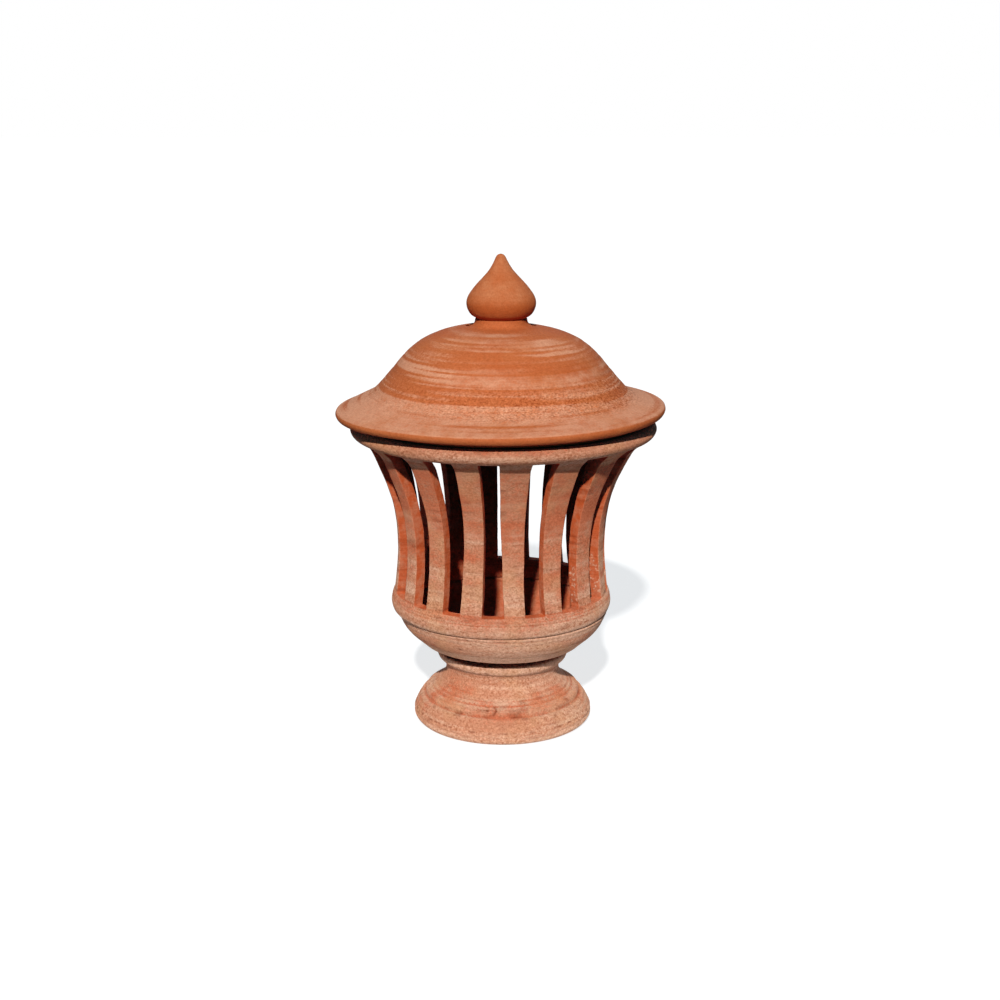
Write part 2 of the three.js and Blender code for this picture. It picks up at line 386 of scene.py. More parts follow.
def body_paint(skin, grooves, warm_marks=(), dark_marks=()):
    """How much lime bloom and painted light, warm blush, rough grain, and grime and painted shade the
    body's clay shows, about 0 to 1 each.
    """
    angle, height = skin.angle, skin.height
    waist = zone(height, 40, 48, 58, 64)
    collar = zone(height, 62, 65, 73, 75)
    # Painted shade: the recess between the collar and the bowl's sharp bottom edge is painted dark, as the
    # deep shade under the bowl.
    recess_shade = (skin.side == OUTSIDE) * zone(height, 73.5, 75.5, 84.0, 84.6) * (1 - ease(skin.radius, 78, 81))
    # Painted light: the bowl's downward-facing underside is painted paler and less warm, in place of light
    # thrown up from the floor.
    underside = zone(height, 83, 85, 90, 100)
    below_bars = 1 - ease(height, 140, 160)
    middle = zone(height, 150, 165, 215, 232)
    on_rim = ease(height, 298, 305)
    below_rim = 1 - on_rim
    high = ease(height, 185, 240) * below_rim
    # Painted light: the tops of the bars, in the rim's shadow, are painted paler and less warm to lift that
    # shadow.
    under_rim = ease(height, 283, 294) * below_rim

    # The pale layer is lime bloom, with painted light added on the bowl's underside and in the rim's shadow
    # on the bars.
    pale = 0.5 + layered(skin, BODY_PALE) - 0.2 * waist + 0.35 * collar + 0.7 * underside
    pale = pale + 0.22 * below_bars * np.sin(np.radians(from_front(angle)))
    pale = pale - 0.1 * middle - 0.5 * high + 0.5 * under_rim - 0.45 * on_rim

    warm = 0.13 + layered(skin, BODY_WARM) - 0.2 * collar - 0.4 * underside - 0.1 * below_bars
    warm = warm + 0.14 * ease(height, 120, 142) * below_rim
    warm = warm + 0.12 * middle + 0.36 * high - 0.4 * under_rim + 0.05 * on_rim
    rough = 0.65 + 0.35 * bands(angle, height, 40, 16, 107) - 0.2 * high + 0.1 * on_rim
    # This darkening layer holds random grime, painted shade in the recess under the bowl, and darker lines
    # along grooves, at dents and on the rim.
    grime_and_shade = 0.35 * ease(bands(angle, height, 14, 3.5, 108), 0.45, 0.8) + 0.6 * recess_shade + 0.13 * on_rim

    broken = 0.5 + 0.8 * bands(angle, height, 7, 3, 110)
    for ring in grooves:
        warm = warm + 0.42 * ring_line(skin, ring.height, 0.8 * ring.width) * min(1, 2 * ring.depth)
        grime_and_shade = grime_and_shade + 0.32 * ring_line(skin, ring.height, 0.7 * ring.width) * min(1, ring.depth) * broken
    streaky = 0.75 + 0.5 * bands(angle, height, 60, 4, 106)
    for mark in warm_marks:
        warm = warm + mark.depth * mark_shape(skin, mark) * streaky
    for mark in dark_marks:
        grime_and_shade = grime_and_shade + 0.8 * mark_shape(skin, mark)
    return {"pale": pale, "warm": warm, "rough": rough, "grime_and_shade": np.clip(grime_and_shade, 0, 1)}


def moved_right(shift):
    """A warp for a section that was stuck on a little off centre."""
    def warp(points, skin):
        points[:, 0] += shift
        return points
    return warp


def dotted_line(skin):
    """A broken row of small dark nicks low on the foot, from 0 to 1."""
    return ring_line(skin, 13.4, 0.8) * ease(around_only(skin, 4.5, 71), 0.0, 0.35)


def make_foot():
    """The hollow flared pedestal: turned ridges outside, and a rounded collar under the bowl."""
    base = FOOT_RADIUS - 6.2
    hollow = FOOT_RADIUS - 18.2
    outline = trace(
        (base, 0),
        ([(FOOT_RADIUS - 3.2, 0.8), (FOOT_RADIUS - 1.0, 3.6), (FOOT_RADIUS, 8.2), (FOOT_RADIUS - 0.9, 12.5),
          (88.4, 20), (85.2, 24), (81.0, 28), (77.0, 32), (71.6, 36.4), (66.6, 40.2), (62.6, 44.6),
          (60.0, 49), (59.1, 53), (59.6, 58.5), (61.8, 63.2)], FINE, OUTSIDE),
        ([(64.6, 64.8), (66.8, 67), (68.0, 70), (68.4, 72.6), (67.2, 74.8), (63.4, 76), (61.2, 77.6),
          (NECK_RADIUS, FOOT_TOP)], FINE, OUTSIDE),
        ([(54, FOOT_TOP)], COARSE, HIDDEN),
        ([(50.0, 66), (49.5, 54), (57, 36), (69, 18), (hollow, 0)], 2.4, INSIDE),
        ([(base, 0)], COARSE, HIDDEN),
    )

    def relief(skin):
        push = body_relief(skin, FOOT_GROOVES, FOOT_RIDGES, FOOT_MARKS, rings=0.2)
        return (push - 0.6 * dotted_line(skin)) * ease(skin.height, 0, 3)

    def paint(skin):
        painted = body_paint(skin, FOOT_GROOVES, FOOT_WARM, FOOT_MARKS)
        painted["grime_and_shade"] = painted["grime_and_shade"] + 0.7 * dotted_line(skin)
        return painted

    return turned("foot_clay", outline, 400, relief, paint, warp=moved_right(FOOT_SHIFT))


def make_bowl():
    """The lower half of the body, sharp at its bottom edge, with a flat floor and a drain hole."""
    floor, drain = 88.0, 6
    outline = trace(
        (drain, BOWL_BOTTOM),
        ([(NECK_RADIUS, BOWL_BOTTOM)], COARSE, HIDDEN),
        ([(61.4, 82.2), (64, 83.4), (74, 83.9), (82.8, 84.5)], FINE, OUTSIDE),
        ([(86.2, 87.8), (91.1, 92.0), (95.6, 96), (102.0, 103.4), (106.2, 111.2),
          (BOWL_RADIUS, BOWL_TOP - 1.2), (BOWL_RADIUS, BOWL_TOP)], FINE, OUTSIDE),
        ([(99, BOWL_TOP)], COARSE, HIDDEN),
        ([(97, 112), (91.5, 103.4), (80, 95), (66, 90.2), (48, floor), (drain, floor)], 2.0, INSIDE),
        ([(drain, BOWL_BOTTOM)], 2.0, INSIDE),
    )

    def relief(skin):
        push = body_relief(skin, BOWL_GROOVES, marks=BOWL_MARKS)
        level_floor = ease(skin.radius, 30, 60)
        return np.where(skin.side == INSIDE, push * level_floor, push)

    def paint(skin):
        return body_paint(skin, BOWL_GROOVES, dark_marks=BOWL_MARKS)

    return turned("bowl_clay", outline, 360, relief, paint, warp=moved_right(BOWL_SHIFT))


def bar_edges(rows_height):
    """Every bar's left and right edge at each height, in radians, with the waver of a cut made by hand."""
    up = (rows_height - SILL) / (SLOT_TOP - SILL)
    lines = []
    for number, bar in enumerate(BARS):
        for side, (low, high) in enumerate((bar[:2], bar[2:])):
            edge = low + (high - low) * ease(up, -0.1, 0.75)
            edge = edge - np.degrees(rim_lean(rows_height) / RIM_RADIUS) * np.cos(np.radians(edge))
            path = np.c_[np.full_like(up, number * 7.0), np.full_like(up, side * 5.0), rows_height]
            waver = 0.22 * noise(path, 34, 11) + 0.1 * noise(path, 11, 12)
            lines.append(np.radians(edge + waver - 90))
    return lines


def rim_lean(height):
    """How far the rim has leant to the right, which grows towards the top."""
    return RIM_SHIFT * ease(height, 255, 312)


def graded(count, crowd=0.55):
    """`count` steps from 0 to 1 that crowd towards both ends."""
    t = np.linspace(0, 1, count + 1)
    return t * (1 - crowd) + crowd * (0.5 - 0.5 * np.cos(math.pi * t))


# The wall's grid: its three sections from the bottom up, their rows, the steps from its outer to its inner
# face, and the columns in each bar and slot.
RING, SLOTS, RIM = 0, 1, 2
RING_ROWS, SLOT_ROWS, RIM_ROWS = 22, 116, 26
DEPTH_STEPS = 7
BAR_STEPS, SLOT_STEPS = 10, 6


def make_slotted_wall():
    """The upper ring, the bars and the rolled rim: a thick shell with the slots left out of it."""
    outer, inner, section = wall_lines()
    angle, is_slot = wall_columns(outer[:, 1])
    share = graded(DEPTH_STEPS, 0.75)
    across, rows, deep = len(angle), len(outer), len(share)
    filled = ~(is_slot[:, None] & (section[:-1] == SLOTS)[None, :])
    faces = shell_faces(np.repeat(filled[:, :, None], deep - 1, axis=2), across, rows, deep)
    used = np.unique(faces)
    faces = np.searchsorted(used, faces)
    column, row, depth = np.unravel_index(used, (across, rows, deep))

    angle = angle[column, row]
    inward = share[depth][:, None]
    radius, height = (outer[row] * (1 - inward) + inner[row] * inward).T
    outer_face = depth == 0
    inner_face = depth == deep - 1
    side = np.where(outer_face, OUTSIDE, np.where(inner_face, INSIDE, HIDDEN))
    side[row == 0] = HIDDEN
    length = np.r_[0, np.cumsum(np.hypot(*np.diff(outer, axis=0).T))][row]
    skin = Skin(angle, radius, height, length, side)
    under_lid = ease(height, 313.5, RIM_TOP - 0.5)
    push = body_relief(skin, WALL_GROOVES) * (1 - under_lid)
    outer_normal, inner_normal = facing(outer, closed=False), -facing(inner, closed=False)
    normal = np.where(outer_face[:, None], outer_normal[row], inner_normal[row])
    radius = radius + push * normal[:, 0]
    height = height + push * normal[:, 1]
    points = in_space(angle, radius, height)
    points[:, 0] += rim_lean(height)

    beside_slots = (section[row] == SLOTS) | (np.r_[0, section[:-1]][row] == SLOTS)
    cut = (~outer_face & ~inner_face & beside_slots).astype(float)
    paint = body_paint(skin, WALL_GROOVES)
    paint["warm"] = paint["warm"] + 0.3 * np.exp(-((height - SILL + 1) / 5.0) ** 2)
    points = round_edges(points, faces, cut)
    crumbs = crumb_zone(points, from_front(angle)) * cut
    points = roughen_cuts(points, cut, crumbs)
    attributes = {"length": length, "inside": inner_face, "cut": cut, "crumbs": crumbs, **paint}
    return make_object("slotted_wall_clay", points, faces.tolist(), attributes)


def wall_columns(rows_height):
    """Each column's angle at each row, and whether it is in a slot. Columns follow the slanted edges."""
    edges = bar_edges(rows_height)
    edges.append(edges[0] + 2 * math.pi)
    columns, is_slot = [], []
    for number, (start, end) in enumerate(zip(edges, edges[1:])):
        in_slot = number % 2 == 1
        for share in graded(SLOT_STEPS if in_slot else BAR_STEPS, 0.8)[:-1]:
            columns.append(start + (end - start) * share)
            is_slot.append(in_slot)
    return np.array(columns), np.array(is_slot)


def wall_lines():
    """The wall's outer and inner outline with matching rows, and the section that each row starts."""
    ring_out = [(109.5, WALL_BOTTOM), (110.6, WALL_BOTTOM + 1.0), (112.2, 122.4), (113.5, 127.6),
                (113.1, 133), (111.9, 137.6), (110.6, SILL)]
    ring_in = [(99, WALL_BOTTOM), (99.2, SILL)]
    bars_out = [(110.6, SILL), (109.6, 146), (108.1, 160), (106.8, 175), (106.5, 190), (107.0, 204),
                (108.3, 218), (110.9, 232.5), (115.4, 248), (119.4, 259), (123.4, 268), (131.0, 284),
                (135.7, 292), (146.2, SLOT_TOP)]
    bars_in = [(99.2, SILL), (96.6, 162), (95.5, 188), (97.1, 217), (105, 251), (113.2, 272.3),
               (121.4, 289), (132.0, SLOT_TOP)]
    rim_out = [(146.2, SLOT_TOP), (151.2, 303.2), (RIM_RADIUS - 1.8, 306.2), (RIM_RADIUS - 1.0, 309.4),
               (RIM_RADIUS - 2.4, 312.9), (151.0, 315.6), (147.6, RIM_TOP)]
    rim_in = [(132.0, SLOT_TOP), (135.2, 304.0), (136.4, 308), (136.6, 312), (137.6, 315.6),
              (141.0, RIM_TOP)]
    plan = [(RING, ring_out, ring_in, RING_ROWS), (SLOTS, bars_out, bars_in, SLOT_ROWS),
            (RIM, rim_out, rim_in, RIM_ROWS)]
    outer, inner, section = [], [], []
    for name, out_keys, in_keys, count in plan:
        outer.append(smooth_line(out_keys, 1, count)[:-1])
        inner.append(smooth_line(in_keys, 1, count)[:-1])
        section += [name] * count
    outer.append(np.array(rim_out[-1:], float))
    inner.append(np.array(rim_in[-1:], float))
    return np.vstack(outer), np.vstack(inner), np.array(section + [RIM])


def shell_faces(filled, across, rows, deep):
    """The outside faces of a grid of cells that closes on itself around the wall, all facing out."""
    def index(column, row, depth):
        return ((column % across) * rows + row) * deep + depth

    around_before = np.roll(filled, 1, axis=0)
    below = np.concatenate([np.zeros_like(filled[:, :1]), filled[:, :-1]], axis=1)
    above = np.concatenate([filled[:, 1:], np.zeros_like(filled[:, :1])], axis=1)
    around_after = np.roll(filled, -1, axis=0)
    faces = []

    def add(mask, corners):
        c, r, d = np.nonzero(mask)
        faces.append(np.stack([index(c + i, r + j, d + k) for i, j, k in corners], axis=-1))

    for depth, corners in ((0, [(0, 0, 0), (1, 0, 0), (1, 1, 0), (0, 1, 0)]),
                           (-1, [(0, 0, 1), (0, 1, 1), (1, 1, 1), (1, 0, 1)])):
        skin = np.zeros_like(filled)
        skin[:, :, depth] = filled[:, :, depth]
        add(skin, corners)
    add(filled & ~around_before, [(0, 0, 0), (0, 1, 0), (0, 1, 1), (0, 0, 1)])
    add(filled & ~around_after, [(1, 0, 0), (1, 0, 1), (1, 1, 1), (1, 1, 0)])
    add(filled & ~below, [(0, 0, 0), (0, 0, 1), (1, 0, 1), (1, 0, 0)])
    add(filled & ~above, [(0, 1, 0), (1, 1, 0), (1, 1, 1), (0, 1, 1)])
    return np.concatenate(faces)


def round_edges(points, faces, cut):
    """Rounds the edges of the cut faces, more in some places than in others, as a wet sponge does."""
    pairs = np.vstack([faces[:, [0, 1]], faces[:, [1, 2]], faces[:, [2, 3]], faces[:, [3, 0]]])
    pairs = np.unique(np.sort(pairs, axis=1), axis=0)
    near = np.clip(1.6 * spread(cut, pairs, len(points), 3), 0, 1)
    worn = near * (0.55 + 0.3 * noise(points, 16, 21))
    count = np.bincount(pairs.ravel(), minlength=len(points))[:, None]
    for _ in range(4):
        total = np.zeros_like(points)
        np.add.at(total, pairs[:, 0], points[pairs[:, 1]])
        np.add.at(total, pairs[:, 1], points[pairs[:, 0]])
        points = points + (total / count - points) * (0.5 * worn)[:, None]
    return points


def crumb_zone(points, around):
    """1 low on the bars at the right, where lime crumbs stuck to the cut faces, and 0 elsewhere."""
    return zone(around, 36, 46, 100, 112) * zone(points[:, 2], 143, 150, 165, 205)


def roughen_cuts(points, cut, crumbs):
    """Scrapes the cut faces along the knife's path, and raises the crumbs on them."""
    lumps = ease(noise(points, [3.2, 3.2, 3.6], 24), 0.22, 0.45) * crumbs
    scrape = 0.2 * noise(points, [3, 3, 9], 22) + 0.14 * noise(points, 1.9, 23)
    flat = np.c_[-points[:, 1], points[:, 0], np.zeros(len(points))]
    flat /= np.linalg.norm(flat, axis=1, keepdims=True)
    return points + flat * (scrape * cut - 0.9 * lumps)[:, None]


def spread(values, pairs, count, times):
    """Lets each point's value leak to its neighbours."""
    share = np.bincount(pairs.ravel(), minlength=count)
    for _ in range(times):
        total = np.bincount(pairs[:, 0], values[pairs[:, 1]], count)
        total = total + np.bincount(pairs[:, 1], values[pairs[:, 0]], count)
        values = 0.5 * values + 0.5 * total / share
    return values


LID_GROOVES = [
    Ring(346.0, 0.3, 0.9), Ring(368.0, 0.3, 0.9), Ring(381.2, 0.35, 0.8), Ring(393.5, 0.2, 0.6),
    Ring(402.0, 0.2, 0.4),
]
LID_STREAKS = [Layer(0.5, 130, 3.4, 203), Layer(0.6, 90, 1.6, 204)]

# How much pale bloom the lid carries at each height over its front. The highest values, from 331.8 to 336.5
# mm at the brim's edge, are a painted highlight line.
LID_BLOOM_AND_HIGHLIGHT = [
    (329.6, 0.0), (331.8, 0.95), (333.6, 0.95), (336.5, 0.9), (341, 0.76), (350, 0.44), (353, 0.32),
    (355.5, 0.2), (358.5, 0.17), (361, 0.34), (364, 0.28), (368, 0.36), (372, 0.52), (378, 0.46),
    (382.0, 0.1), (388, 0.0), (394, 0.05), (397, 0.34), (399, 0.16), (402, 0.36), (407, 0.28),
    (410, 0.1), (413, 0.0), (420, 0.0),
]


def make_lid():
    """The dome and its wide brim, standing on the rim with a flange inside it and a socket on top."""
    seat = RIM_TOP + SEAM_GAP
    flange_in, flange_out = 125, 134
    socket, socket_lip = 25.2, FINIAL_NECK_TOP - SEAM_GAP
    hidden_bore = 5
    outline = trace(
        (flange_in, FLANGE_BOTTOM),
        ([(flange_out, FLANGE_BOTTOM)], MEDIUM, HIDDEN),
        ([(flange_out, seat)], MEDIUM, HIDDEN),
        ([(147, seat)], COARSE, HIDDEN),
        ([(150, 320.4), (155.5, 322.5), (160.6, 322.8)], FINE, OUTSIDE),
        ([(163.2, 324.4), (LID_RADIUS, 328.2), (163.9, 331.0), (160.6, 332.5)], FINE, OUTSIDE),
        ([(150.1, 336), (140.1, 340), (131.9, 344), (126.4, 348.4), (121.8, 353.4), (115.9, 360),
          (109.2, 368), (95.4, 384), (80.5, 396), (63.4, 404), (47.5, 408.2), (37.5, 409.9), (31.6, 411.0),
          (28.0, 412.6), (26.4, 414.8), (26.0, 417.0), (26.0, socket_lip)], 1.15, OUTSIDE),
        ([(socket, socket_lip)], FINE, OUTSIDE),
        ([(socket, CROWN_TOP)], FINE, HIDDEN),
        ([(hidden_bore, CROWN_TOP)], COARSE, HIDDEN),
        ([(hidden_bore, 403)], 2.0, HIDDEN),
        ([(40, 399.5), (75, 387), (100, 364), (119, 337), (flange_in, 320), (flange_in, FLANGE_BOTTOM)],
         3.2, INSIDE),
    )
    lid = turned("lid_clay", outline, 360, lid_relief, lid_paint, warp=sag)
    drill_vents(lid)
    return lid


def clear_of_rim(skin):
    """0 on the underside where the lid stands on the rim, so that it stays flat there, and 1 elsewhere."""
    return np.maximum(ease(skin.radius, 147, 152), ease(skin.height, 329, 331))


def lid_relief(skin):
    """Throwing rings, grooves and pits. The underside's rings are deeper, and the seat is left flat."""
    outside = skin.side == OUTSIDE
    push = wobble(skin.angle, skin.height, 5, 0.2) * outside * ease(skin.radius, 27, 40)
    rings = throwing_rings(skin.angle, skin.length, 31, 0.15, pitch=9.0) * ease(skin.radius, 26, 34)
    push = push + rings * np.where(outside, 1, 2.5) * (skin.side != HIDDEN)
    for ring in LID_GROOVES:
        push = push - ring.depth * ring_line(skin, ring.height, ring.width) * outside
    return (push + pits(skin, 37, 5.0, 0.4, 0.16) * outside) * clear_of_rim(skin)


def lid_paint(skin):
    """Pale bloom swept around the dome and along the brim, a painted highlight line on the brim's edge, and
    a grainy band where they meet.
    """
    angle, height = skin.angle, skin.height
    front = np.radians(from_front(angle))
    drift = 4.5 * np.sin(front) + 2.6 * around_only(skin, 60, 201) + 1.4 * bands(angle, height, 22, 9, 202)
    drift = drift * zone(height, 334, 350, 404, 412)
    heights, amounts = zip(*LID_BLOOM_AND_HIGHLIGHT)
    pale = np.interp(height + drift, heights, amounts)
    swept = zone(height, 330, 334, 406, 412)
    pale = pale + layered(skin, LID_STREAKS) * (0.5 + 0.5 * ease(pale, 0.05, 0.4)) * swept
    pale = pale + 0.3 * bands(angle, height, 52, 12, 205) * swept
    grainy = zone(height, 338, 344, 356, 372) * (0.35 + 0.65 * ease(front, -0.9, 0.3))
    warm = 0.35 + 0.35 * bands(angle, height, 90, 14, 206)
    return {"pale": ease(pale, 0.0, 0.9), "warm": warm, "rough": 0.15 + 0.85 * grainy}


def sag(points, skin):
    """The brim warped a little in the kiln: its left side reaches further and hangs lower."""
    loose = ease(skin.radius, 134, LID_RADIUS) * (skin.side == OUTSIDE) * clear_of_rim(skin)
    left = ease(-points[:, 0], 80, LID_RADIUS)
    lift = 2.0 * points[:, 0] / LID_RADIUS - 1.6 * left + 0.3 * np.sin(2 * skin.angle + 0.6)
    points[:, 2] += loose * lift
    points[:, 0] -= 1.4 * loose * left
    return points


def drill_vents(lid):
    """Two vents poked through the dome at a slant, either side of the finial's foot."""
    offset, behind, height = 31.5, 4, 411
    size, slant = 4, math.radians(45)
    for side in (-1, 1):
        bpy.ops.mesh.primitive_cylinder_add(vertices=40, radius=size * MM, depth=60 * MM)
        drill = bpy.context.object
        drill.location = Vector((side * offset, behind, height)) * MM
        drill.rotation_euler = (slant, 0, 0)
        cutter = lid.modifiers.new("vent", "BOOLEAN")
        cutter.operation = "DIFFERENCE"
        cutter.solver = "EXACT"
        cutter.object = drill
        bpy.context.view_layer.objects.active = lid
        bpy.ops.object.modifier_apply(modifier=cutter.name)
        bpy.data.objects.remove(drill)


def make_finial():
    """The hollow onion on top, open below, with a slightly crooked drawn-out tip."""
    base, neck, opening = FINIAL_BOTTOM, 24.9, 16
    outline = trace(
        (0, 458),
        ([(10, 454), (22, 440), (24, 433), (opening, base)], 2.0, INSIDE),
        ([(neck, base)], 2.0, HIDDEN),
        ([(neck, FINIAL_NECK_TOP)], 0.8, HIDDEN),
        ([(25.9, 419.7), (28.9, 421.4), (31.8, 424.6), (33.8, 428.8), (FINIAL_RADIUS, 433), (34.2, 437),
          (32.6, 441.2), (30.0, 445.2), (27.1, 449.0), (24.0, 452.8), (20.5, 456.4), (16.8, 460.4),
          (13.2, 464.4), (10.3, 468.4), (7.9, 472.4), (5.9, 476.4), (4.6, 479.2), (2.6, FINIAL_TIP - 0.7),
          (0, FINIAL_TIP)], 0.8, OUTSIDE),
    )

    def relief(skin):
        outside = skin.side == OUTSIDE
        push = wobble(skin.angle, skin.height, 8, 0.12)
        push = push + throwing_rings(skin.angle, skin.length, 41, 0.09, pitch=7.0)
        return push * outside * ease(skin.radius, 1, 9)

    def paint(skin):
        pale = 0.22 + layered(skin, [Layer(0.3, 40, 9, 301), Layer(0.12, 70, 2, 302)])
        pale = pale + 0.25 * ease(skin.height, 434, 446)
        warm = 0.4 + 0.5 * np.exp(-((skin.height - 430) / 4.5) ** 2)
        return {"pale": pale, "warm": warm, "rough": np.full_like(pale, 0.1)}

    def lean(points, skin):
        points[:, 0] -= 0.5 * ease(points[:, 2], 455, FINIAL_TIP)
        return points

    return turned("finial_clay", outline, 180, relief, paint, closed=False, warp=lean)


# ---- tealight

def make_cup():
    """A thin rolled cup with a fluted wall."""
    radius, floor, top = reach("tealight_cup")
    wall = radius - 0.8
    inner = wall - 0.5
    outline = trace(
        (0, floor),
        ([(wall - 1.6, floor)], 2.0, OUTSIDE),
        ([(wall - 0.5, floor + 0.4), (wall, floor + 1.6)], 0.4, OUTSIDE),
        ([(wall, top - 1.0)], 1.0, OUTSIDE),
        ([(radius, top - 0.5), (wall + 0.3, top), (inner, top - 0.5)], 0.3, OUTSIDE),
        ([(inner, floor + 0.5)], 1.0, OUTSIDE),
        ([(0, floor + 0.5)], 2.0, OUTSIDE),
    )

    def flutes(skin):
        on_wall = ease(skin.radius, wall - 0.9, wall - 0.4)
        on_wall = on_wall * zone(skin.height, floor + 2, floor + 3.5, top - 2.4, top - 1.2)
        return -0.12 * np.sin(48 * skin.angle) * on_wall

    return turned("tealight_shell", outline, 192, flutes, closed=False)


def make_wax():
    """The wax, with a dished top and a bore for the wick."""
    radius, floor, top = reach("candle_wax")
    radius = radius - 0.1
    bore = 1.9
    outline = trace(
        (bore, floor),
        ([(radius, floor)], 1.5, OUTSIDE),
        ([(radius, top - 0.6)], 1.0, OUTSIDE),
        ([(radius - 1.3, top), (12, top - 0.9), (5, top - 1.1), (2.4, top - 0.7), (bore, top - 1.2)],
         0.5, OUTSIDE),
        ([(bore, floor)], 1.0, OUTSIDE),
    )

    def ripples(skin):
        return 0.1 * bands(skin.angle, skin.height, 8, 6, 51) * ease(skin.height, top - 2, top - 1)

    return turned("wax", outline, 96, ripples)


def make_wick_holder():
    """A flat foot with a short tube that grips the wick."""
    foot, floor, top = reach("wick_holder")
    bore, tube = 1.15, 1.6
    outline = trace(
        (bore, floor),
        ([(foot, floor)], 0.8, OUTSIDE),
        ([(foot, floor + 0.5)], 0.3, OUTSIDE),
        ([(2.3, floor + 0.5)], 0.8, OUTSIDE),
        ([(1.7, floor + 1.2), (tube, top)], 0.4, OUTSIDE),
        ([(bore, top)], 0.3, OUTSIDE),
        ([(bore, floor)], 0.8, OUTSIDE),
    )
    return turned("wick_clip", outline, 48)


def make_wick():
    """A plaited wick."""
    _, floor, top = reach("wick")
    radius = 0.78
    outline = trace(
        (0, floor),
        ([(radius, floor)], 0.3, OUTSIDE),
        ([(radius, top - 0.6)], 0.25, OUTSIDE),
        ([(0.5, top - 0.1), (0, top)], 0.2, OUTSIDE),
    )

    def plait(skin):
        return 0.09 * np.sin(3 * skin.angle + skin.height * 2.6) * ease(skin.radius, 0.4, 0.7)

    return turned("plaited_wick", outline, 24, plait, closed=False)


# ---- materials

class Graph:
    """A short way to wire the nodes of a material or of the world."""

    def __init__(self, owner):
        owner.use_nodes = True
        self.owner = owner
        self.tree = owner.node_tree
        self.shader = next(node for node in self.tree.nodes if node.outputs)
        self.output = next(node for node in self.tree.nodes if not node.outputs)

    def node(self, kind, settings=None, **inputs):
        made = self.tree.nodes.new(kind)
        for key, value in (settings or {}).items():
            setattr(made, key, value)
        self.fill(made, **inputs)
        return made

    def fill(self, node, **inputs):
        for key, value in inputs.items():
            self.put(node.inputs[key.replace("_", " ")], value)

    def put(self, socket, value):
        if isinstance(value, bpy.types.NodeSocket):
            self.tree.links.new(value, socket)
        else:
            socket.default_value = value

    def math(self, operation, a, b, clamp=False):
        made = self.node("ShaderNodeMath", {"operation": operation, "use_clamp": clamp})
        self.put(made.inputs[0], a)
        self.put(made.inputs[1], b)
        return made.outputs[0]

    def plus(self, *values):
        return reduce(partial(self.math, "ADD"), values)

    def times(self, *values):
        return reduce(partial(self.math, "MULTIPLY"), values)

    def ramp(self, start, value, gain):
        """start + value * gain."""
        return self.plus(start, self.times(value, gain))

    def centred(self, value, gain):
        """A noise from 0 to 1, moved to swing evenly about 0."""
        return self.times(self.math("SUBTRACT", value, 0.5), gain)

    def attribute(self, name):
        return self.node("ShaderNodeAttribute", {"attribute_name": name}).outputs["Fac"]

    def position(self):
        return self.node("ShaderNodeNewGeometry").outputs["Position"]

    def steps(self, value, low, high):
        """0 below `low`, 1 above `high`, smooth between."""
        made = self.node("ShaderNodeMapRange", {"interpolation_type": "SMOOTHSTEP"}, Value=value,
                         From_Min=low, From_Max=high)
        return made.outputs["Result"]

    def mix(self, share, first, second, blend="MIX"):
        made = self.node("ShaderNodeMix", {"data_type": "RGBA", "blend_type": blend})
        for socket, value in zip((0, 6, 7), (share, first, second)):
            self.put(made.inputs[socket], value)
        return made.outputs[2]

    def noise(self, vector, scale, detail=3.0, roughness=0.55):
        made = self.node("ShaderNodeTexNoise", Vector=vector, Scale=scale, Detail=detail,
                         Roughness=roughness)
        return made.outputs["Fac"]

    def vector_math(self, operation, *values):
        made = self.node("ShaderNodeVectorMath", {"operation": operation})
        for socket, value in zip(made.inputs, values):
            self.put(socket, value)
        return made.outputs

    def ring_vector(self, stretch):
        """A place on the surface as [around, around, along the outline], so that noise runs in bands."""
        flat = self.vector_math("MULTIPLY", self.position(), (1, 1, 0))[0]
        around = self.vector_math("NORMALIZE", flat)[0]
        split = self.node("ShaderNodeSeparateXYZ", Vector=around)
        along = self.times(self.attribute("length"), stretch)
        return self.node("ShaderNodeCombineXYZ", X=split.outputs[0], Y=split.outputs[1], Z=along).outputs[0]

    def bump(self, height, strength, distance):
        """Tilts the shader's normals by a height from 0 to 1, which stands for `distance` in metres."""
        made = self.node("ShaderNodeBump", Strength=strength, Distance=distance, Height=height)
        self.fill(self.shader, Normal=made.outputs[0])

    def by_camera(self, seen, otherwise):
        """Shows one shader to the camera, and lights everything else with the other."""
        chooser = self.node("ShaderNodeMixShader")
        is_camera = self.node("ShaderNodeLightPath").outputs["Is Camera Ray"]
        for socket, value in zip(chooser.inputs, (is_camera, otherwise, seen)):
            self.put(socket, value)
        self.fill(self.output, Surface=chooser.outputs[0])


def colour(*screen_values):
    """A colour as read on screen, 0 to 255, turned into the linear values that Blender wants."""
    linear = []
    for value in screen_values:
        share = value / 255
        linear.append(share / 12.92 if value <= 10 else ((share + 0.055) / 1.055) ** 2.4)
    return (*linear, 1.0)


SPECK_TINT = (0.62, 0.46, 0.4, 1)
GRIME_AND_SHADE_TINT = (0.4, 0.24, 0.17, 1)
Grain = namedtuple("Grain", "fine grit lumps patches crumbs streaks drags")


def clay_grain(g):
    """The noises that a clay's colour and relief share. Streaks and drags run around the pot."""
    position = g.position()
    return Grain(
        fine=g.noise(position, 520.0, 2.0, 0.6), grit=g.noise(position, 300.0, 3.0, 0.65),
        lumps=g.noise(position, 90.0, 2.0, 0.5), patches=g.noise(position, 24.0, 2.0, 0.5),
        crumbs=g.noise(position, 340.0, 1.0, 0.5), streaks=g.noise(g.ring_vector(0.9), 2.0, 3.0, 0.6),
        drags=g.noise(g.ring_vector(0.02), 31.0, 2.0, 0.6),
    )


